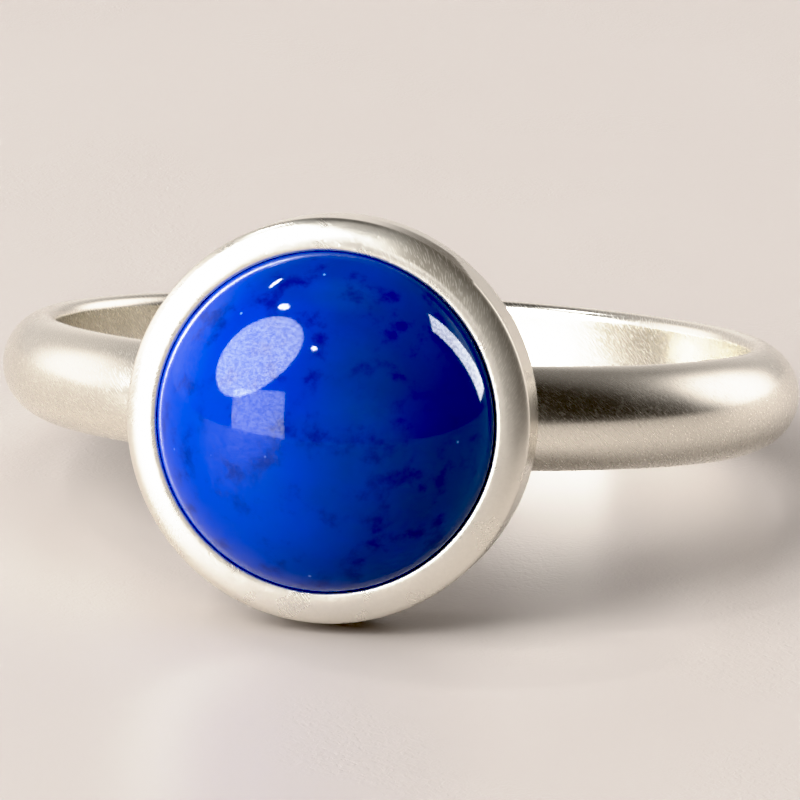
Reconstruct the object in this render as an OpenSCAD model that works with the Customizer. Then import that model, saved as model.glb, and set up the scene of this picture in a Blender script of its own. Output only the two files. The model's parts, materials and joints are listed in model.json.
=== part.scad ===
// A ring that lies on its side: a half-round shank and a round bezel cup with a domed stone.
// Millimetres, +Z up. The surface that it rests on is z = 0, and the stone faces -Y.
//
// The pieces are drawn in the ring's own frame: the finger hole's centre is the origin, its axis
// is Z, and the stone's axis is -Y. The module resting() then tips them to where they come to rest.

/* [Shank] */
// Inside diameter of the shank, where the finger goes
finger_d = 16.9; // [15.5:0.1:20]
// Width of the shank, along the finger
shank_w = 2.45; // [2.2:0.05:3]
// Thickness of the shank at the middle of its dome
shank_t = 1.25; // [1.1:0.05:1.6]
// Rounding radius of the shank's two inner edges
shank_edge_r = 0.3; // [0.2:0.05:0.4]

/* [Stone] */
// Diameter of the stone at its girdle
stone_d = 8; // [6:0.5:9]
// Height of the dome above the girdle
dome_h = 2.8; // [2:0.1:3.4]
// Height of the stone's straight side, below the girdle
stone_side_h = 0.75; // [0.7:0.05:0.9]
// Width of the small bevel round the stone's flat back
stone_bevel = 0.12; // [0.05:0.01:0.2]

/* [Bezel cup] */
// Thickness of the cup's wall behind the stone's girdle
cup_wall = 0.54; // [0.45:0.01:0.7]
// Height of the cup, from its flat back to the top of the rim
cup_h = 1.9; // [1.8:0.05:2.2]
// Thickness of the cup's floor
cup_floor = 0.36; // [0.3:0.02:0.5]
// How deep the cup's back is let into the shank and soldered
cup_sink = 0.4; // [0.3:0.05:0.5]
// How far the rim's rounded shoulder drops, from its top to the straight wall
shoulder_h = 0.36; // [0.2:0.02:0.5]
// Fullness of the shoulder: 2 is an ellipse's quarter, and less draws it in towards a flat bevel
shoulder_fullness = 1.7; // [1.4:0.1:2]
// Rounding radius of the edge at the cup's back
cup_back_r = 0.12; // [0.05:0.01:0.2]
// Width of the burnished edge, from the opening to the top of the rim
burnish_w = 0.11; // [0.08:0.01:0.2]
// How far the burnished edge drops towards the stone
burnish_drop = 0.05; // [0.04:0.01:0.1]
// Height of the lip's upright edge, under the burnished edge
lip_h = 0.01; // [0.01:0.01:0.05]
// Height of the slope under the lip, where the wall clears the girdle
lip_slope_h = 0.34; // [0.3:0.02:0.4]

/* [Clearance] */
// Gap between the stone's dome and the lip that leans over it
lip_gap = 0.02; // [0.02:0.01:0.05]
// Gap between the stone's girdle and the cup's wall
side_gap = 0.09; // [0.05:0.01:0.12]
// Gap between the stone's back and the cup's floor
seat_gap = 0.05; // [0.03:0.01:0.1]

/* [Hidden] */
$fn = 180;
corner_steps = 6;
curve_steps = 24;

// Shank section, in the plane of the radius and the axis
hole_r = finger_d / 2;
shank_top_r = hole_r + shank_t;
corner_at = [hole_r + shank_edge_r, shank_w / 2 - shank_edge_r];
// The dome's arc touches both corner arcs from outside and reaches shank_top_r at its middle.
dome_reach = shank_top_r - shank_edge_r;
dome_at_r = (dome_reach ^ 2 - corner_at.x ^ 2 - corner_at.y ^ 2) / (2 * (dome_reach - corner_at.x));
dome_arc_r = shank_top_r - dome_at_r;
dome_angle = atan2(corner_at.y, corner_at.x - dome_at_r);

// Stations along the stone's axis, from the centre of the finger hole
cup_back = shank_top_r - cup_sink;
cup_seat = cup_back + cup_floor;
cup_top = cup_back + cup_h;
lip_at = cup_top - burnish_drop - lip_h;
stone_back = cup_seat + seat_gap;
girdle = stone_back + stone_side_h;

// Radii round the stone's axis
stone_r = stone_d / 2;
bore_r = stone_r + side_gap;
cup_r = bore_r + cup_wall;
opening_r = stone_r * sqrt(1 - ((lip_at - girdle) / dome_h) ^ 2) + lip_gap;
crest_r = opening_r + burnish_w;

// At rest the edge of the cup's back and the shank's far lower edge share the surface.
rest_rise = cup_r - cup_back_r - corner_at.y;
rest_run = cup_back + cup_back_r + corner_at.x;
rest_tilt = atan2(rest_rise, rest_run)
    - asin((shank_edge_r - cup_back_r) / norm([rest_rise, rest_run]));
rest_z = corner_at.x * sin(rest_tilt) + corner_at.y * cos(rest_tilt) + shank_edge_r;
front_reach = girdle * cos(rest_tilt) + norm([dome_h * cos(rest_tilt), stone_r * sin(rest_tilt)]);
back_reach = dome_at_r * cos(rest_tilt) + dome_arc_r;
rest_y = (front_reach - back_reach) / 2;

// A share from -1 to 1 raised to a power, with its sign kept
function powered(share, power) = sign(share) * abs(share) ^ power;

// Points of an arc, or of an ellipse's quarter, between two angles
function arc(centre, radii, from, to, steps, fullness = 2) = [
    for (i = [0:steps])
        let (a = from + (to - from) * i / steps, power = 2 / fullness)
            centre + [radii.x * powered(cos(a), power), radii.y * powered(sin(a), power)]
];

function shank_section() = concat(
    arc([corner_at.x, -corner_at.y], [shank_edge_r, shank_edge_r], 180, 360 - dome_angle,
        corner_steps),
    arc([dome_at_r, 0], [dome_arc_r, dome_arc_r], -dome_angle, dome_angle, curve_steps),
    arc(corner_at, [shank_edge_r, shank_edge_r], dome_angle, 180, corner_steps)
);

function cup_section() = concat(
    [[0, cup_back]],
    arc([cup_r - cup_back_r, cup_back + cup_back_r], [cup_back_r, cup_back_r], -90, 0,
        corner_steps),
    arc([crest_r, cup_top - shoulder_h], [cup_r - crest_r, shoulder_h], 0, 90, corner_steps * 2,
        shoulder_fullness),
    arc([crest_r, cup_top - burnish_drop], [burnish_w, burnish_drop], 90, 180, corner_steps),
    [
        [opening_r, lip_at],
        [bore_r, lip_at - lip_slope_h],
        [bore_r, cup_seat],
        [0, cup_seat]
    ]
);

function stone_section() = concat(
    [[0, stone_back], [stone_r - stone_bevel, stone_back], [stone_r, stone_back + stone_bevel]],
    arc([0, girdle], [stone_r, dome_h], 0, 90, curve_steps)
);

// Turns what is drawn round +Z to lie round the stone's axis.
module on_stone_axis() {
    rotate([90, 0, 0]) children();
}

// Tips the ring forward-up and sets it on the surface.
module resting() {
    translate([0, rest_y, rest_z]) rotate([-rest_tilt, 0, 0]) children();
}

module shank() {
    rotate_extrude() polygon(shank_section());
}

module bezel_cup() {
    on_stone_axis() rotate_extrude() polygon(cup_section());
}

// The shank and the cup are soldered into one piece of silver.
module silver_setting() {
    color("silver") resting() union() {
        shank();
        bezel_cup();
    }
}

module lapis_cabochon() {
    color("royalblue") resting() on_stone_axis() rotate_extrude() polygon(stone_section());
}

silver_setting();
lapis_cabochon();
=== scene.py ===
"""A silver ring with a round lapis cabochon in a bezel cup, lying on its side on a pale table top.

The shapes are worked out in millimetres in the ring's own frame, from the centre of the finger hole:
x to the right, out along the stone's axis, up along the hole's axis. placed() sets them down where
the ring lies, in metres.
"""

import json
import math

import bpy
import numpy as np
from mathutils import Matrix, Vector


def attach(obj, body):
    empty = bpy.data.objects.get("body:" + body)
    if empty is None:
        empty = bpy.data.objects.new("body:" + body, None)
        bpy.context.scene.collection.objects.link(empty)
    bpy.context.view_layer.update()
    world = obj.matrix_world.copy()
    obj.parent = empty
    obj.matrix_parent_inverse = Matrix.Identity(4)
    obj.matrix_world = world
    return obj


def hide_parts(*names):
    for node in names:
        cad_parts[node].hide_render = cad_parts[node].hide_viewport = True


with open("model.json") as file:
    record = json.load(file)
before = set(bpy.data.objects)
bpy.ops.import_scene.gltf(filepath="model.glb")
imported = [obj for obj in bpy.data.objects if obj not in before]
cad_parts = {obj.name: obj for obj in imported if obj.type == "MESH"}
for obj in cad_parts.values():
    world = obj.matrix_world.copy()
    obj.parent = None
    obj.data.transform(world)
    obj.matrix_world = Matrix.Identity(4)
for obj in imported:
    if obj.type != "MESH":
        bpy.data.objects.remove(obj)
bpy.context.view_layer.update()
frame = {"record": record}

# Place of the ring: the finger hole's centre and axis come from the part's record
HOLE = frame["record"]["mounts"][0]
MM = 0.001
HOLE_CENTRE = np.array(HOLE["pos_m"])
RIGHT = np.array([1.0, 0.0, 0.0])
UP = np.array(HOLE["axis"])
OUT = np.cross(RIGHT, UP)

# Shank, mm
HOLE_R = HOLE["dims"]["r_mm"]
SHANK_W = 2.45
SHANK_T = 1.25
SHANK_EDGE_R = 0.3

# Stone, mm
STONE_R = 4.0
DOME_H = 2.8
STONE_SIDE_H = 0.75
STONE_BEVEL = 0.12

# Bezel cup, mm
CUP_WALL = 0.54
CUP_H = 1.9
CUP_FLOOR = 0.36
CUP_SINK = 0.4
CUP_BACK_R = 0.12
SHOULDER_H = 0.36
SHOULDER_FULLNESS = 1.7
BURNISH_W = 0.11
BURNISH_DROP = 0.05
LIP_H = 0.01
LIP_SLOPE_H = 0.34
LIP_GAP = 0.02
SIDE_GAP = 0.09
SEAT_GAP = 0.05

# Stations along the stone's axis and radii round it, mm
SHANK_TOP_R = HOLE_R + SHANK_T
CUP_BACK = SHANK_TOP_R - CUP_SINK
CUP_SEAT = CUP_BACK + CUP_FLOOR
CUP_TOP = CUP_BACK + CUP_H
LIP_AT = CUP_TOP - BURNISH_DROP - LIP_H
STONE_BACK = CUP_SEAT + SEAT_GAP
GIRDLE = STONE_BACK + STONE_SIDE_H
BORE_R = STONE_R + SIDE_GAP
CUP_R = BORE_R + CUP_WALL
OPENING_R = STONE_R * math.sqrt(1 - ((LIP_AT - GIRDLE) / DOME_H) ** 2) + LIP_GAP
CREST_R = OPENING_R + BURNISH_W

# The grids of the cup and the stone end at this radius, in mm, and the dome's at this angle, in degrees.
# A fan of triangles closes them there.
FAN_R = 0.05
DOME_END = 89.3

# The shank's domed back is one arc that runs into both rounded inner edges, mm and degrees
EDGE_AT_R = HOLE_R + SHANK_EDGE_R
EDGE_AT_UP = SHANK_W / 2 - SHANK_EDGE_R
BACK_REACH = SHANK_TOP_R - SHANK_EDGE_R
BACK_AT_R = (BACK_REACH**2 - EDGE_AT_R**2 - EDGE_AT_UP**2) / (2 * (BACK_REACH - EDGE_AT_R))
BACK_R = SHANK_TOP_R - BACK_AT_R
BACK_ANGLE = math.degrees(math.atan2(EDGE_AT_UP, EDGE_AT_R - BACK_AT_R))

# Solder in the corner between the cup's back and the shank, mm: its thickness, how far it may spread
# along each face, and how deep its edges and its hidden side lie in the metal
SOLDER_THROAT = 0.16
SOLDER_LONGEST = 0.7
SOLDER_BITE = 0.01
SOLDER_HIDDEN = 0.1

# The share by which the solder spreads unevenly, and its rough width and radius for its UV map, mm
SOLDER_UNEVEN = 0.15
SOLDER_ACROSS = 1.0
SOLDER_ROUND_R = 2.0

# Hand finish: how far the surfaces stray from true, and how far from the lip the rim does, mm
SHANK_STRAY = 0.008
RIM_STRAY = 0.006
RIM_PRESSED = 0.015
RIM_REACH = 0.15
STONE_STRAY = 0.004

# Painted shade in the cup's seat and outside its rim, from 0 to 1: darker, duller silver in the recess under
# the stone, and a dark band on the rim that stands in for the dark side of the room mirrored there. Round
# the rim it keeps to a band of angles, in degrees up from its right side, and thickens with the angle.
SHADE_IN_SEAT = 0.3
SHADE_AT_RIGHT = 0.3
SHADE_PER_DEGREE = 0.0085
SHADE_MIDDLE = 36
SHADE_HALF = 38

# Across the rim it starts just off the crest and ends above the wall, each with a soft edge, mm. Between
# two angles, in degrees, it comes to run on down the wall.
SHADE_OFF_CREST = 0.06
SHADE_ABOVE_WALL = 0.02
SHADE_DOWN_WALL = 0.9
SHADE_EDGE = 0.1
SHADE_DEEP_FROM = 46
SHADE_DEEP_BY = 56

# Columns of each piece's grid, once round it
SHANK_COLUMNS = 720
CUP_COLUMNS = 512
SOLDER_COLUMNS = 240
STONE_COLUMNS = 384

# Camera: where it stands round the finger hole, in the ring's own frame, and how it is held
CAMERA_DISTANCE = 150.0
CAMERA_AZIMUTH = 8.596
CAMERA_ELEVATION = 5.835
CAMERA_TILT = 0.221
CAMERA_ROLL = 2.65
FOCAL_PIXELS = 6150.0
PICTURE_PIXELS = 800
SENSOR_WIDTH = 36.0

# Studio: half the floor's side and the lights' distance from the stone, in metres, and the brightness of
# the dark room and of the pale backdrop that the camera sees
FLOOR_HALF = 3.0
LIGHT_DISTANCE = 1.2
ROOM_LIGHT = 0.06
BACKDROP_LIGHT = 0.72

# How the picture is developed: the light that shows as black, where its curve bends, its white, and the
# points of the bend
PICTURE_BLACK = 0.045
PICTURE_KNEE = 0.75
PICTURE_WHITE = 2.5
PICTURE_POINTS = 12


def linear(hex_colour):
    """An sRGB hex colour as linear red, green, blue and alpha."""
    channels = [int(hex_colour[i : i + 2], 16) / 255 for i in (1, 3, 5)]
    return tuple(c / 12.92 if c <= 0.04045 else ((c + 0.055) / 1.055) ** 2.4 for c in channels) + (1.0,)


# Shapes


def placed(x, out, up):
    """Points of the ring's own frame, in mm, set down in metres: the centre plus each axis's share."""
    offsets = x[..., None] * RIGHT + out[..., None] * OUT + up[..., None] * UP
    return HOLE_CENTRE + offsets * MM


def arc(centre, radii, start, end, steps, fullness=2.0):
    """Points on an ellipse's arc: the centre plus (cos a, sin a) times the radii, a in degrees.

    Each of the two shares is raised to 2 / fullness: less than 2 draws the curve in towards its chord.
    """
    a = np.radians(np.linspace(start, end, steps + 1))
    share = np.stack([np.cos(a), np.sin(a)], axis=-1)
    return np.array(centre) + np.array(radii) * np.sign(share) * np.abs(share) ** (2 / fullness)


def straight(start, end, steps):
    """Evenly spaced points on a straight line, both ends included."""
    return np.linspace(start, end, steps + 1)


def once_round(columns, start=0.0):
    """Evenly spaced angles once round, in radians, for a grid's columns."""
    return start + np.linspace(0, 2 * np.pi, columns, endpoint=False)


def run_length(points):
    """Length along a line of points, from its first point to each of them."""
    return np.append(0.0, np.cumsum(np.linalg.norm(np.diff(points, axis=0), axis=1)))


def wander(turn, seed, waves):
    """A smooth uneven line from 0 to 1 that closes on itself: sines of whole wave counts added up."""
    phases = np.random.default_rng(seed).uniform(0, 2 * np.pi, len(waves))
    total = sum(np.sin(n * turn + p) / math.sqrt(n) for n, p in zip(waves, phases))
    return 0.5 + 0.5 * total / sum(1 / math.sqrt(n) for n in waves)


def skin(name, points, across_mm, round_mm, capped):
    """A closed mesh over a grid of points, row by row across the section and column by column round it.

    The columns close on themselves. The rows do too, as on a torus, unless capped: then a fan to a middle
    point closes each end. The UV map surface_mm holds millimetres round the piece and across its section.
    """
    rows, columns = points.shape[:2]
    i, j = np.meshgrid(np.arange(rows - capped), np.arange(columns), indexing="ij")
    i, j = i.ravel(), j.ravel()
    i2, j2 = (i + 1) % rows, (j + 1) % columns
    corners = np.stack([i * columns + j, i * columns + j2, i2 * columns + j2, i2 * columns + j], axis=1)
    u = np.append(round_mm, round_mm[-1] + round_mm[1])
    v = np.append(across_mm, across_mm[-1] + across_mm[1])
    uv = np.stack([np.stack([u[j], u[j + 1], u[j + 1], u[j]], axis=1),
                   np.stack([v[i], v[i], v[i + 1], v[i + 1]], axis=1)], axis=2)
    vertices = points.reshape(-1, 3)
    corners, uv, sides = corners.ravel(), uv.reshape(-1, 2), np.full(len(corners), 4)
    if capped:
        vertices = np.concatenate([vertices, points[[0, -1]].mean(axis=1)])
        j = np.arange(columns)
        for end, order in ((0, [0, 2, 1]), (rows - 1, [0, 1, 2])):
            pole = np.full(columns, rows * columns + (end > 0))
            fan = np.stack([pole, end * columns + j, end * columns + (j + 1) % columns], axis=1)
            fan_u = np.stack([u[j], u[j], u[j + 1]], axis=1)
            fan_uv = np.stack([fan_u, np.full((columns, 3), v[end])], axis=2)
            corners = np.append(corners, fan[:, order])
            uv = np.concatenate([uv, fan_uv[:, order].reshape(-1, 2)])
            sides = np.append(sides, np.full(columns, 3))
    mesh = bpy.data.meshes.new(name)
    mesh.vertices.add(len(vertices))
    mesh.vertices.foreach_set("co", vertices.ravel())
    mesh.loops.add(len(corners))
    mesh.loops.foreach_set("vertex_index", corners)
    mesh.polygons.add(len(sides))
    mesh.polygons.foreach_set("loop_start", np.cumsum(sides) - sides)
    mesh.uv_layers.new(name="surface_mm").data.foreach_set("uv", uv.ravel())
    mesh.update(calc_edges=True)
    mesh.shade_smooth()
    piece = bpy.data.objects.new(name, mesh)
    bpy.context.scene.collection.objects.link(piece)
    return piece


def paint(piece, name, values):
    """Gives a piece a number at each point of its grid, for its material to read."""
    padded = np.zeros(len(piece.data.vertices))
    padded[: values.size] = values.ravel()
    piece.data.attributes.new(name, "FLOAT", "POINT").data.foreach_set("value", padded)


def make_shank():
    """A half-round section carried round the hole: x = r sin t, out = r cos t.

    The section is flat inside, with rounded inner edges and one arc for its back. Here and there it is a
    few thousandths of a mm thinner, as in a band filed and sanded by hand.
    """
    edge, back = (SHANK_EDGE_R, SHANK_EDGE_R), (BACK_R, BACK_R)
    section = np.concatenate([
        arc((EDGE_AT_R, -EDGE_AT_UP), edge, 180, 360 - BACK_ANGLE, 14)[:-1],
        arc((BACK_AT_R, 0), back, -BACK_ANGLE, BACK_ANGLE, 56)[:-1],
        arc((EDGE_AT_R, EDGE_AT_UP), edge, BACK_ANGLE, 180, 14)[:-1],
        straight((HOLE_R, EDGE_AT_UP), (HOLE_R, -EDGE_AT_UP), 12)[:-1],
    ])
    turn = once_round(SHANK_COLUMNS)
    keep = 1 - SHANK_STRAY / (SHANK_T / 2) * wander(turn, 11, (3, 7, 12, 19, 31))
    middle_r = HOLE_R + SHANK_T / 2
    radius = middle_r + (section[:, :1] - middle_r) * keep
    up = section[:, 1:] * keep
    points = placed(radius * np.sin(turn), radius * np.cos(turn), up)
    return skin("shank", points, run_length(section), turn * SHANK_TOP_R, False)


def cup_painted_shade(section, turn):
    """How much painted shade the cup has, from 0 to 1, at each point of its grid.

    Its seat is evenly dull and dark, as painted shade in the recess. Outside, a painted dark reflection on
    the rim,
    four shares are multiplied: how far off the crest and how far in front of the wall a point is, the band
    exp(-((a - middle) / half) ^ 6), and a line that rises with the angle.
    """
    inside = (section[:, 1] < CUP_TOP - BURNISH_DROP) & (section[:, 0] <= BORE_R)
    degrees = np.degrees(turn)
    off_crest = np.clip((section[:, :1] - CREST_R - SHADE_OFF_CREST) / SHADE_EDGE, 0, 1)
    deep = np.clip((degrees - SHADE_DEEP_FROM) / (SHADE_DEEP_BY - SHADE_DEEP_FROM), 0, 1)
    lowest = CUP_TOP - SHOULDER_H + SHADE_ABOVE_WALL - SHADE_DOWN_WALL * deep
    in_front = np.clip((section[:, 1:] - lowest) / SHADE_EDGE, 0, 1)
    band = np.exp(-(((degrees - SHADE_MIDDLE) / SHADE_HALF) ** 6))
    thickness = np.clip(SHADE_AT_RIGHT + SHADE_PER_DEGREE * degrees, 0, 1)
    return np.where(inside[:, None], SHADE_IN_SEAT, off_crest * in_front * band * thickness)


def make_cup():
    """The cup's wall turned round the stone's axis: x = r cos t, up = r sin t.

    Its section runs from the middle of its back, over the rim, to the middle of its seat. The edge that was
    pushed over the stone is pressed on to it, and strays a little.
    """
    shoulder = CUP_TOP - SHOULDER_H
    section = np.concatenate([
        straight((FAN_R, CUP_BACK), (CUP_R - CUP_BACK_R, CUP_BACK), 10)[:-1],
        arc((CUP_R - CUP_BACK_R, CUP_BACK + CUP_BACK_R), (CUP_BACK_R, CUP_BACK_R), -90, 0, 10)[:-1],
        straight((CUP_R, CUP_BACK + CUP_BACK_R), (CUP_R, shoulder), 10)[:-1],
        arc((CREST_R, shoulder), (CUP_R - CREST_R, SHOULDER_H), 0, 90, 48, SHOULDER_FULLNESS)[:-1],
        arc((CREST_R, CUP_TOP - BURNISH_DROP), (BURNISH_W, BURNISH_DROP), 90, 180, 20),
        straight((OPENING_R, LIP_AT), (BORE_R, LIP_AT - LIP_SLOPE_H), 6)[:-1],
        straight((BORE_R, LIP_AT - LIP_SLOPE_H), (BORE_R, CUP_SEAT), 6)[:-1],
        straight((BORE_R, CUP_SEAT), (FAN_R, CUP_SEAT), 10),
    ])
    turn = once_round(CUP_COLUMNS, -np.pi / 2)
    from_lip = np.hypot(section[:, 0] - OPENING_R, section[:, 1] - LIP_AT)
    near_edge = np.exp(-((from_lip / RIM_REACH) ** 2))[:, None]
    radius = section[:, :1] + near_edge * (RIM_STRAY * wander(turn, 21, (4, 9, 17, 29, 43)) - RIM_PRESSED)
    out = section[:, 1:] - near_edge * RIM_STRAY * wander(turn, 22, (3, 8, 15, 26))
    points = placed(radius * np.cos(turn), out, radius * np.sin(turn))
    piece = skin("bezel_cup", points, run_length(section), (turn - turn[0]) * CUP_R, True)
    # Painted shade: darker, duller silver in the seat and in a band round the rim and down the wall.
    paint(piece, "painted_shade", cup_painted_shade(section, turn))
    return piece


def make_solder():
    """The solder in the corner between the cup's flat back and the shank, all round where they meet.

    The corner's line has up = h sin t, and out stays that of the cup's back. Each of the grid's columns
    starts with a point inside the metal. It goes on along a hollow curve from the shank's back to the
    cup's, (1 - s)^2 cup + 2 s (1 - s) corner + s^2 shank, whose bend is drawn to the corner.
    """
    half_up = math.sqrt(BACK_R**2 - (CUP_BACK - BACK_AT_R) ** 2)
    turn = once_round(SOLDER_COLUMNS)
    up = half_up * np.sin(turn)
    rise = np.sqrt(BACK_R**2 - up**2)
    x = half_up * np.cos(turn) * np.sqrt((BACK_AT_R + rise + CUP_BACK) / (rise + CUP_BACK - BACK_AT_R))
    corner = np.stack([x, np.full(len(turn), CUP_BACK), up], axis=1)
    along = np.roll(corner, -1, axis=0) - np.roll(corner, 1, axis=0)
    along /= np.linalg.norm(along, axis=1)[:, None]
    away = np.cross(along, (0.0, 1.0, 0.0))
    round_r = np.hypot(x, CUP_BACK)
    shank_face = np.stack([x / round_r * rise, CUP_BACK / round_r * rise, up], axis=1) / BACK_R
    down = np.cross(along, shank_face)
    angle = np.arccos(np.clip((away * down).sum(axis=1), -1, 1))
    size = np.minimum(SOLDER_THROAT / (2 * np.tan(angle / 2)), SOLDER_LONGEST)
    unevenness = SOLDER_UNEVEN * (2 * wander(turn, 31, (2, 5, 9)) - 1)
    size = (size * (1 + unevenness))[:, None]
    on_cup = corner + away * size + np.array([0.0, SOLDER_BITE, 0.0])
    on_shank = corner + down * size
    reach = np.hypot(on_shank[:, 0], on_shank[:, 1])
    lean = np.arctan2(on_shank[:, 2], reach - BACK_AT_R)
    sunk_r = BACK_AT_R + (BACK_R - SOLDER_BITE) * np.cos(lean)
    on_shank[:, :2] *= (sunk_r / reach)[:, None]
    on_shank[:, 2] = (BACK_R - SOLDER_BITE) * np.sin(lean)
    share = np.linspace(0, 1, 13)[:, None, None]
    hollow = (1 - share) ** 2 * on_cup + 2 * share * (1 - share) * corner + share**2 * on_shank
    hidden = corner - (away + down) * SOLDER_HIDDEN + np.array([0.0, SOLDER_HIDDEN, 0.0])
    points = np.concatenate([hidden[None], hollow[::-1]])
    points = placed(points[..., 0], points[..., 1], points[..., 2])
    across_mm = np.linspace(0, SOLDER_ACROSS, len(points))
    return skin("solder_seam", points, across_mm, turn * SOLDER_ROUND_R, False)


def make_stone():
    """A low dome turned round the stone's axis: radius R cos a, height H sin a, on a short straight side."""
    section = np.concatenate([
        straight((FAN_R, STONE_BACK), (STONE_R - STONE_BEVEL, STONE_BACK), 8)[:-1],
        straight((STONE_R - STONE_BEVEL, STONE_BACK), (STONE_R, STONE_BACK + STONE_BEVEL), 3)[:-1],
        straight((STONE_R, STONE_BACK + STONE_BEVEL), (STONE_R, GIRDLE), 6)[:-1],
        arc((0, GIRDLE), (STONE_R, DOME_H), 0, DOME_END, 110),
    ])
    turn = once_round(STONE_COLUMNS, -np.pi / 2)
    height = np.clip((section[:, 1:] - GIRDLE) / DOME_H, 0, 1)
    keep = 1 - STONE_STRAY / STONE_R * wander(turn + 3 * height, 41, (2, 3, 5)) * np.sin(np.pi * height) ** 2
    radius = section[:, :1] * keep
    out = GIRDLE + (section[:, 1:] - GIRDLE) * keep
    points = placed(radius * np.cos(turn), out, radius * np.sin(turn))
    return skin("lapis_stone", points, run_length(section), (turn - turn[0]) * STONE_R, True)


# Materials

# Settings of the nodes that ease from one value to another and that blend two colours
SMOOTH = {"interpolation_type": "SMOOTHSTEP"}
COLOURS = {"data_type": "RGBA"}

# Noise that shows as scratches: from where on, how much lower that is for the most of them, and how far
# past it a scratch is at its full depth
SCRATCH_FROM = 0.74
SCRATCH_MORE = 0.3
SCRATCH_EDGE = 0.06

# Silver: sanding strokes, filed patches, grit and pits. Sizes are in mm and heights in micrometres.
STROKE_LENGTH = 0.77
STROKES_PER_MM = 26
STROKE_HEIGHT = 0.6
SCRATCH_HEIGHT = -0.08
PATCH_SIZE = 0.91
PATCH_HEIGHT = 3.0
GRIT_SIZE = 1 / 12
GRIT_HEIGHT = 2.0
PIT_SPACING = 1 / 6
PIT_HEIGHT = -2.0

# What patches, scratches and painted shade add to the silver's roughness, and how much painted shade a
# scratch leaves
PATCH_DULLS = 0.12
SCRATCH_DULLS = 0.08
SHADE_DULLS = 0.5
SHADE_KEPT_IN_SCRATCH = 0.75

# Lapis: its clouds, dark patches, pale grains and the grit of its polish, mm
CLOUD_SIZE = 2.22
DARK_SIZE = 0.77
GRAIN_SPACING = 0.455
POLISH_GRIT = 1 / 13

# Painted shade: the lapis darkens from left to right between two places, mm, as if lit from the left. Clouds
# push the change along, and height takes a share in it.
LIT_UNTIL = 0.4
SHADED_FROM = 6.4
CLOUD_PUSH = 5.0
HEIGHT_SHARE = 0.1

# Board: its smudges, the crinkles of its lacquer and the patches that these fill, mm
SMUDGE_SIZE = 33.3
CRINKLE_SIZE = 0.2
CRINKLED_SIZE = 8.33


def add(tree, kind, inputs, output=0, **settings):
    """Adds a node with its settings and links, and gives one of its outputs, by name or number.

    inputs maps an input's name or number to its value, to an sRGB hex, or to the output linked to it.
    """
    node = tree.nodes.new("ShaderNode" + kind)
    for name, value in settings.items():
        setattr(node, name, value)
    for key, value in inputs.items():
        socket = next(s for n, s in enumerate(node.inputs) if key in (n, s.name) and s.enabled)
        if isinstance(value, bpy.types.NodeSocket):
            tree.links.new(value, socket)
        else:
            socket.default_value = linear(value) if isinstance(value, str) else value
    return node.outputs[output] if output is not None else None


def new_material(name):
    """A material with an empty node tree, and that tree's place on the piece, in millimetres."""
    made = bpy.data.materials.new(name)
    made.use_nodes = True
    made.node_tree.nodes.clear()
    metres = add(made.node_tree, "TexCoord", {}, "Object")
    to_mm = (1 / MM,) * 3
    return made, made.node_tree, add(made.node_tree, "Mapping", {"Vector": metres, "Scale": to_mm})


def scratches(tree, surface, angle, width_mm, length_mm, share):
    """Short thin marks at an angle: noise drawn out to their length and width, of which the peaks stay.

    A larger share, from 0 to 1, leaves more of them.
    """
    turned = add(tree, "Mapping", {"Vector": surface, "Rotation": (0, 0, math.radians(angle))})
    drawn_out = add(tree, "Mapping", {"Vector": turned, "Scale": (1 / length_mm, 1 / width_mm, 1)})
    noise = add(tree, "TexNoise", {"Vector": drawn_out, "Scale": 1, "Detail": 1})
    least = SCRATCH_FROM - SCRATCH_MORE * share
    peaks = {"Value": noise, "From Min": least, "From Max": least + SCRATCH_EDGE}
    return add(tree, "MapRange", peaks, **SMOOTH)


def specks(tree, place, spacing, share, core, edge):
    """Round spots: one in each cell of a random pattern, in a share of the cells only.

    A spot is full out to its core's radius and gone at its edge's, both in mm.
    """
    cells = {"Vector": place, "Scale": 1 / spacing}
    chance = add(tree, "SeparateColor", {"Color": add(tree, "TexVoronoi", cells, "Color")})
    chosen = add(tree, "Math", {0: chance, 1: 1 - share}, operation="GREATER_THAN")
    reach = {"From Min": edge / spacing, "From Max": core / spacing}
    spot = add(tree, "MapRange", {"Value": add(tree, "TexVoronoi", cells), **reach}, **SMOOTH)
    return add(tree, "Math", {0: spot, 1: chosen}, operation="MULTIPLY")


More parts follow.
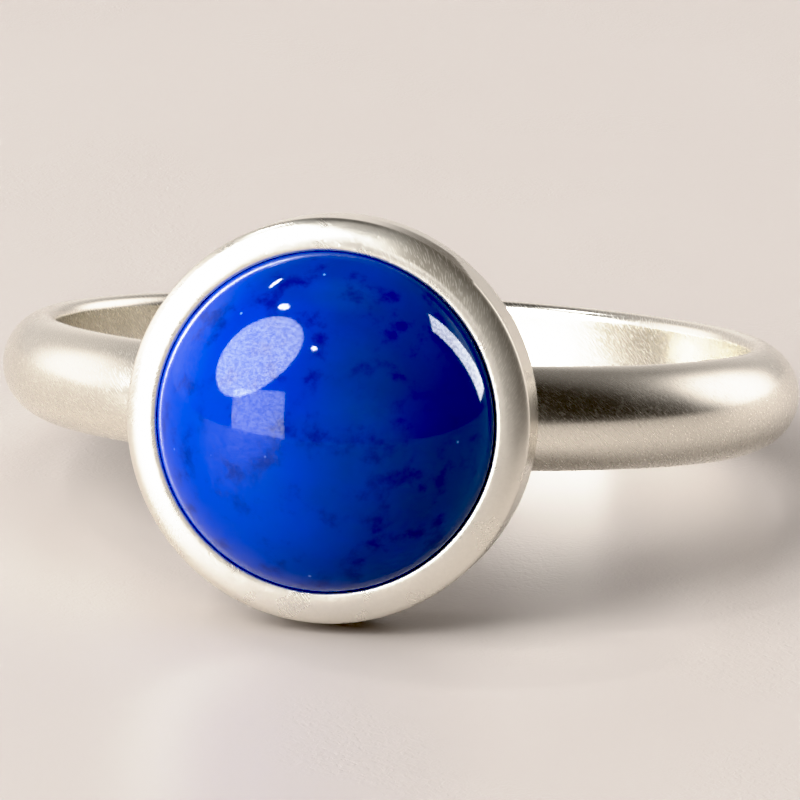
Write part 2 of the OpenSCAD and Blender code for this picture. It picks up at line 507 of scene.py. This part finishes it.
def sterling_silver(name, roughness, relief):
    """Sterling silver, filed, sanded and worn. The eye sees near-white metal with broken reflections.

    Painted shade, where a piece has it, is browner and duller silver, and scratches take some of it away.
    The relief is the share that wear has left of the depth of strokes, scratches, pits and grit.
    """
    made, tree, place = new_material(name)
    surface = add(tree, "UVMap", {}, uv_map="surface_mm")
    along = add(tree, "Mapping", {"Vector": surface, "Scale": (1 / STROKE_LENGTH, STROKES_PER_MM, 1)})
    strokes = add(tree, "TexNoise", {"Vector": along, "Scale": 1, "Detail": 3})
    patches = add(tree, "TexNoise", {"Vector": place, "Scale": 1 / PATCH_SIZE, "Detail": 2})
    sharp = {"Detail": 4, "Roughness": 0.6}
    grit = add(tree, "TexNoise", {"Vector": place, "Scale": 1 / GRIT_SIZE, **sharp})
    cross_marks = scratches(tree, surface, 40, 0.03, 0.22, 0.65)
    height = add(tree, "Math", {0: strokes, 1: STROKE_HEIGHT * relief}, operation="MULTIPLY")
    for pattern, micrometres in (
        (scratches(tree, surface, 8, 0.03, 0.5, 0.5), SCRATCH_HEIGHT * relief),
        (cross_marks, SCRATCH_HEIGHT * relief),
        (scratches(tree, surface, -25, 0.025, 0.3, 0.45), SCRATCH_HEIGHT * relief),
        (specks(tree, place, PIT_SPACING, 0.35, 0.01, 0.05), PIT_HEIGHT * relief),
        (grit, GRIT_HEIGHT * relief),
        (patches, PATCH_HEIGHT),
    ):
        height = add(tree, "Math", {0: pattern, 1: micrometres, 2: height}, operation="MULTIPLY_ADD")
    bump = add(tree, "Bump", {"Strength": 1, "Distance": 1e-6, "Height": height})
    tone = add(tree, "Mix", {"Factor": grit, "A": "#EDE9DF", "B": "#F7F3E9"}, 2, **COLOURS)
    # Painted shade from the cup's grid, thinned where the cross marks run, mixes in a dark olive brown.
    painted_shade = add(tree, "Attribute", {}, "Fac", attribute_name="painted_shade")
    left = add(tree, "MapRange", {"Value": cross_marks, "To Min": 1.0, "To Max": SHADE_KEPT_IN_SCRATCH})
    painted_shade = add(tree, "Math", {0: painted_shade, 1: left}, operation="MULTIPLY")
    colour = add(tree, "Mix", {"Factor": painted_shade, "A": tone, "B": "#5C5346"}, 2, **COLOURS)
    rough = roughness - PATCH_DULLS / 2
    for pattern, dulls in ((patches, PATCH_DULLS), (painted_shade, SHADE_DULLS), (cross_marks, SCRATCH_DULLS)):
        rough = add(tree, "Math", {0: pattern, 1: dulls, 2: rough}, operation="MULTIPLY_ADD")
    metal = {"Base Color": colour, "Metallic": 1, "Roughness": rough, "Normal": bump}
    shader = add(tree, "BsdfPrincipled", metal)
    add(tree, "OutputMaterial", {"Surface": shader}, None)
    return made


def polished_lapis():
    """Lapis lazuli, cut as a dome and polished. The eye sees an opaque deep blue, cloudy, with pale grains.

    It is painted brighter towards the left and darker towards the right and a little higher up, as shade
    from light falling from the left. The polish comes and goes from grain to grain, which breaks up what the
    dome mirrors.
    """
    made, tree, place = new_material("polished lapis lazuli")
    across, up = (add(tree, "SeparateXYZ", {"Vector": place}, axis) for axis in "XZ")
    soft = {"Detail": 4, "Roughness": 0.55}
    clouds = add(tree, "TexNoise", {"Vector": place, "Scale": 1 / CLOUD_SIZE, **soft})
    # Painted shade: drift grows to the right, and a little upward, and the blue deepens with it.
    drift = add(tree, "Math", {0: up, 1: HEIGHT_SHARE, 2: across}, operation="MULTIPLY_ADD")
    drift = add(tree, "Math", {0: clouds, 1: CLOUD_PUSH, 2: drift}, operation="MULTIPLY_ADD")
    zone = {"Value": drift, "From Min": LIT_UNTIL, "From Max": SHADED_FROM}
    deep = add(tree, "MapRange", zone, **SMOOTH)
    # The paler blue is the lit left side, the deeper one the painted shade on the right.
    colour = add(tree, "Mix", {"Factor": deep, "A": "#023AA7", "B": "#01346B"}, 2, **COLOURS)
    ragged = {"Detail": 5, "Roughness": 0.65}
    mottle = add(tree, "TexNoise", {"Vector": place, "Scale": 1 / DARK_SIZE, **ragged})
    patch = {"From Min": 0.5, "From Max": 0.7, "To Max": 0.6}
    dark = add(tree, "MapRange", {"Value": mottle, **patch}, **SMOOTH)
    colour = add(tree, "Mix", {"Factor": dark, "A": colour, "B": "#021A60"}, 2, **COLOURS)
    grains = specks(tree, place, GRAIN_SPACING, 0.25, 0.01, 0.05)
    grains = add(tree, "Math", {0: grains, 1: 0.6}, operation="MULTIPLY")
    colour = add(tree, "Mix", {"Factor": grains, "A": colour, "B": "#7FA4E8"}, 2, **COLOURS)
    sharp = {"Detail": 3, "Roughness": 0.7}
    grit = add(tree, "TexNoise", {"Vector": place, "Scale": 1 / POLISH_GRIT, **sharp})
    dullness = {"From Min": 0.4, "From Max": 0.6, "To Min": 0.47, "To Max": 0.28}
    polish = add(tree, "MapRange", {"Value": grit, **dullness})
    bump = add(tree, "Bump", {"Strength": 1, "Distance": 2e-7, "Height": grit})
    gloss = {"Roughness": 0.06, "Specular IOR Level": polish, "Normal": bump}
    shader = add(tree, "BsdfPrincipled", {"Base Color": colour, **gloss})
    add(tree, "OutputMaterial", {"Surface": shader}, None)
    return made


def lacquered_board():
    """A pale board with a satin lacquer. The eye sees warm light grey, a soft sheen and crinkled patches."""
    made, tree, place = new_material("satin-lacquered board")
    smudge = add(tree, "TexNoise", {"Vector": place, "Scale": 1 / SMUDGE_SIZE, "Detail": 3})
    wavy = {"Detail": 2, "Distortion": 1.5}
    crinkles = add(tree, "TexNoise", {"Vector": place, "Scale": 1 / CRINKLE_SIZE, **wavy})
    patches = add(tree, "TexNoise", {"Vector": place, "Scale": 1 / CRINKLED_SIZE, "Detail": 1})
    crinkled = add(tree, "MapRange", {"Value": patches, "From Min": 0.45, "From Max": 0.6}, **SMOOTH)
    crinkles = add(tree, "Math", {0: crinkles, 1: crinkled}, operation="MULTIPLY")
    colour = add(tree, "Mix", {"Factor": smudge, "A": "#A7A09B", "B": "#AEA7A2"}, 2, **COLOURS)
    bump = add(tree, "Bump", {"Strength": 1, "Distance": 1.6e-5, "Height": crinkles})
    satin = {"Roughness": 0.38, "IOR": 1.3, "Normal": bump}
    shader = add(tree, "BsdfPrincipled", {"Base Color": colour, **satin})
    add(tree, "OutputMaterial", {"Surface": shader}, None)
    return made


# Studio


def make_floor():
    """A large flat square under the ring."""
    mesh = bpy.data.meshes.new("floor")
    signs = ((-1, -1), (1, -1), (1, 1), (-1, 1))
    mesh.from_pydata([(x * FLOOR_HALF, y * FLOOR_HALF, 0) for x, y in signs], [], [(0, 1, 2, 3)])
    floor = bpy.data.objects.new("floor", mesh)
    bpy.context.scene.collection.objects.link(floor)
    mesh.materials.append(lacquered_board())
    return floor


def direction(azimuth, elevation):
    """The way from the stone at two angles in degrees: azimuth 0 is the side it faces, and 90 its right."""
    a, e = math.radians(azimuth), math.radians(elevation)
    return Vector((math.sin(a) * math.cos(e), -math.cos(a) * math.cos(e), math.sin(e)))


def make_softbox(name, shape, azimuth, elevation, turn, width, height, brightness):
    """A flat soft light that faces the stone. Its size is two angles seen from the stone, in degrees.

    Its brightness is what a mirror shows, so its power is pi times that and its area.
    """
    way = direction(azimuth, elevation)
    light = bpy.data.lights.new(name, "AREA")
    light.shape = shape
    light.size, light.size_y = (2 * LIGHT_DISTANCE * math.tan(math.radians(s) / 2) for s in (width, height))
    area = light.size * light.size_y * (math.pi / 4 if shape == "ELLIPSE" else 1)
    light.energy = brightness * math.pi * area
    lamp = bpy.data.objects.new(name, light)
    stone_middle = Vector(HOLE_CENTRE + OUT * GIRDLE * MM)
    lamp.matrix_world = (
        Matrix.Translation(stone_middle + way * LIGHT_DISTANCE)
        @ way.to_track_quat("Z", "Y").to_matrix().to_4x4()
        @ Matrix.Rotation(math.radians(turn), 4, "Z")
    )
    bpy.context.scene.collection.objects.link(lamp)
    return lamp


def make_world():
    """A dark room in which soft round glows stand for the pale things that the windows light up.

    Each glow is full within its first angle from its middle and gone at its second, in degrees. The camera
    itself sees an even pale backdrop instead.
    """
    world = bpy.data.worlds.new("studio")
    bpy.context.scene.world = world
    world.use_nodes = True
    tree = world.node_tree
    tree.nodes.clear()
    way = add(tree, "TexCoord", {}, "Generated")
    light = ROOM_LIGHT
    for azimuth, elevation, full, gone, brightness in (
        (-135, 0, 20, 60, 0.66),
        (-105, 15, 0, 30, 0.83),
        (135, 15, 0, 30, 1.5),
        (180, 15, 0, 30, 0.3),
        (15, 30, 0, 30, 0.35),
        (150, 15, 20, 60, 0.22),
        (-62, -8, 20, 45, 0.55),
        (8, -12, 20, 42, 0.45),
        (0, 85, 5, 20, 0.45),
    ):
        middle = {0: way, 1: direction(azimuth, elevation)}
        near = add(tree, "VectorMath", middle, "Value", operation="DOT_PRODUCT")
        reach = {"From Min": math.cos(math.radians(gone)), "From Max": math.cos(math.radians(full))}
        glow = add(tree, "MapRange", {"Value": near, **reach}, **SMOOTH)
        light = add(tree, "Math", {0: glow, 1: brightness, 2: light}, operation="MULTIPLY_ADD")
    seen = add(tree, "LightPath", {}, "Is Camera Ray")
    light = add(tree, "Mix", {"Factor": seen, "A": light, "B": BACKDROP_LIGHT})
    background = add(tree, "Background", {"Color": "#FFF8F4", "Strength": light})
    add(tree, "OutputWorld", {"Surface": background}, None)


def make_camera():
    """The camera stands round the finger hole at the photograph's angle, tipped and rolled a little."""
    right, out, up = Vector(RIGHT), Vector(OUT), Vector(UP)
    a, e = math.radians(CAMERA_AZIMUTH), math.radians(CAMERA_ELEVATION)
    level = right * math.sin(a) + out * math.cos(a)
    stand = level * math.cos(e) + up * math.sin(e)
    e += math.radians(CAMERA_TILT)
    back = level * math.cos(e) + up * math.sin(e)
    across = Matrix.Rotation(math.radians(CAMERA_ROLL), 3, back) @ (right * math.cos(a) - out * math.sin(a))
    pose = Matrix((across, back.cross(across), back)).transposed().to_4x4()
    pose.translation = Vector(HOLE_CENTRE) + stand * CAMERA_DISTANCE * MM
    camera = bpy.data.objects.new("camera", bpy.data.cameras.new("camera"))
    camera.data.sensor_width = SENSOR_WIDTH
    camera.data.lens = FOCAL_PIXELS / PICTURE_PIXELS * SENSOR_WIDTH
    camera.data.clip_start, camera.data.clip_end = 0.01, 10.0
    camera.matrix_world = pose
    bpy.context.scene.collection.objects.link(camera)
    bpy.context.scene.camera = camera


def develop_picture():
    """The picture starts at a black point and is even up to its knee; from there it nears white smoothly.

    Past the knee k, light l shows as k + (1 - k) * (1 - exp(-(l - k) / (1 - k))).
    """
    view = bpy.context.scene.view_settings
    view.view_transform = "Standard"
    view.use_curve_mapping = True
    curves = view.curve_mapping
    curves.black_level = (PICTURE_BLACK,) * 3
    curves.white_level = (PICTURE_WHITE,) * 3
    curves.extend = "HORIZONTAL"
    light = np.append(0.0, np.linspace(PICTURE_KNEE, PICTURE_WHITE - PICTURE_BLACK, PICTURE_POINTS))
    room = 1 - PICTURE_KNEE
    shown = np.where(light > PICTURE_KNEE, 1 - room * np.exp((PICTURE_KNEE - light) / room), light)
    # The fourth curve is the one that red, green and blue share.
    curve = curves.curves[3]
    for _ in light[2:]:
        curve.points.new(0.5, 0.5)
    for point, share, value in zip(curve.points, light / light[-1], shown):
        point.location = (share, value)
        point.handle_type = "VECTOR"
    curves.update()


make_camera()
make_world()
floor = make_floor()

# After its shape, each light has its azimuth, elevation, turn, width and height in degrees, and then its
# brightness.
make_softbox("high_window", "ELLIPSE", -50, 34.5, -36, 37, 48, 13.0)
make_softbox("low_window", "RECTANGLE", -36, 7, 9, 28, 24, 6.7)
make_softbox("left_lamp", "ELLIPSE", -64, 60, 20, 6, 4, 45.0)
make_softbox("middle_lamp", "ELLIPSE", -14, 44, -20, 3, 2.3, 45.0)
make_softbox("far_lamp", "ELLIPSE", -113, 56.5, -18, 8, 2.4, 45.0)
overhead_fill = make_softbox("overhead_fill", "ELLIPSE", 0, 88, 0, 60, 60, 2.0)
stone_lights = (
    make_softbox("right_strip", "RECTANGLE", 109, 26, 12, 13.5, 43, 17.0),
    make_softbox("left_screen", "ELLIPSE", -150, 12, 0, 28, 60, 1.2),
)

satin = sterling_silver("satin sterling silver", roughness=0.28, relief=1.0)
worn = sterling_silver("worn sterling silver", roughness=0.22, relief=0.35)
stone = make_stone()
for piece, finish, slot, node in (
    (make_shank(), worn, "silver", "silver_setting"),
    (make_cup(), satin, "silver", "silver_setting"),
    (make_solder(), worn, "silver", "silver_setting"),
    (stone, polished_lapis(), "lapis", "lapis_cabochon"),
):
    piece.data.materials.append(finish)
    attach(piece, "root")
    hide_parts(node)

# Two lights are shaded from all but the stone, and one from all but the floor.
for lit, lamps in ((stone, stone_lights), (floor, (overhead_fill,))):
    lit_alone = bpy.data.collections.new(lit.name + " lit alone")
    lit_alone.objects.link(lit)
    for lamp in lamps:
        lamp.light_linking.receiver_collection = lit_alone

develop_picture()
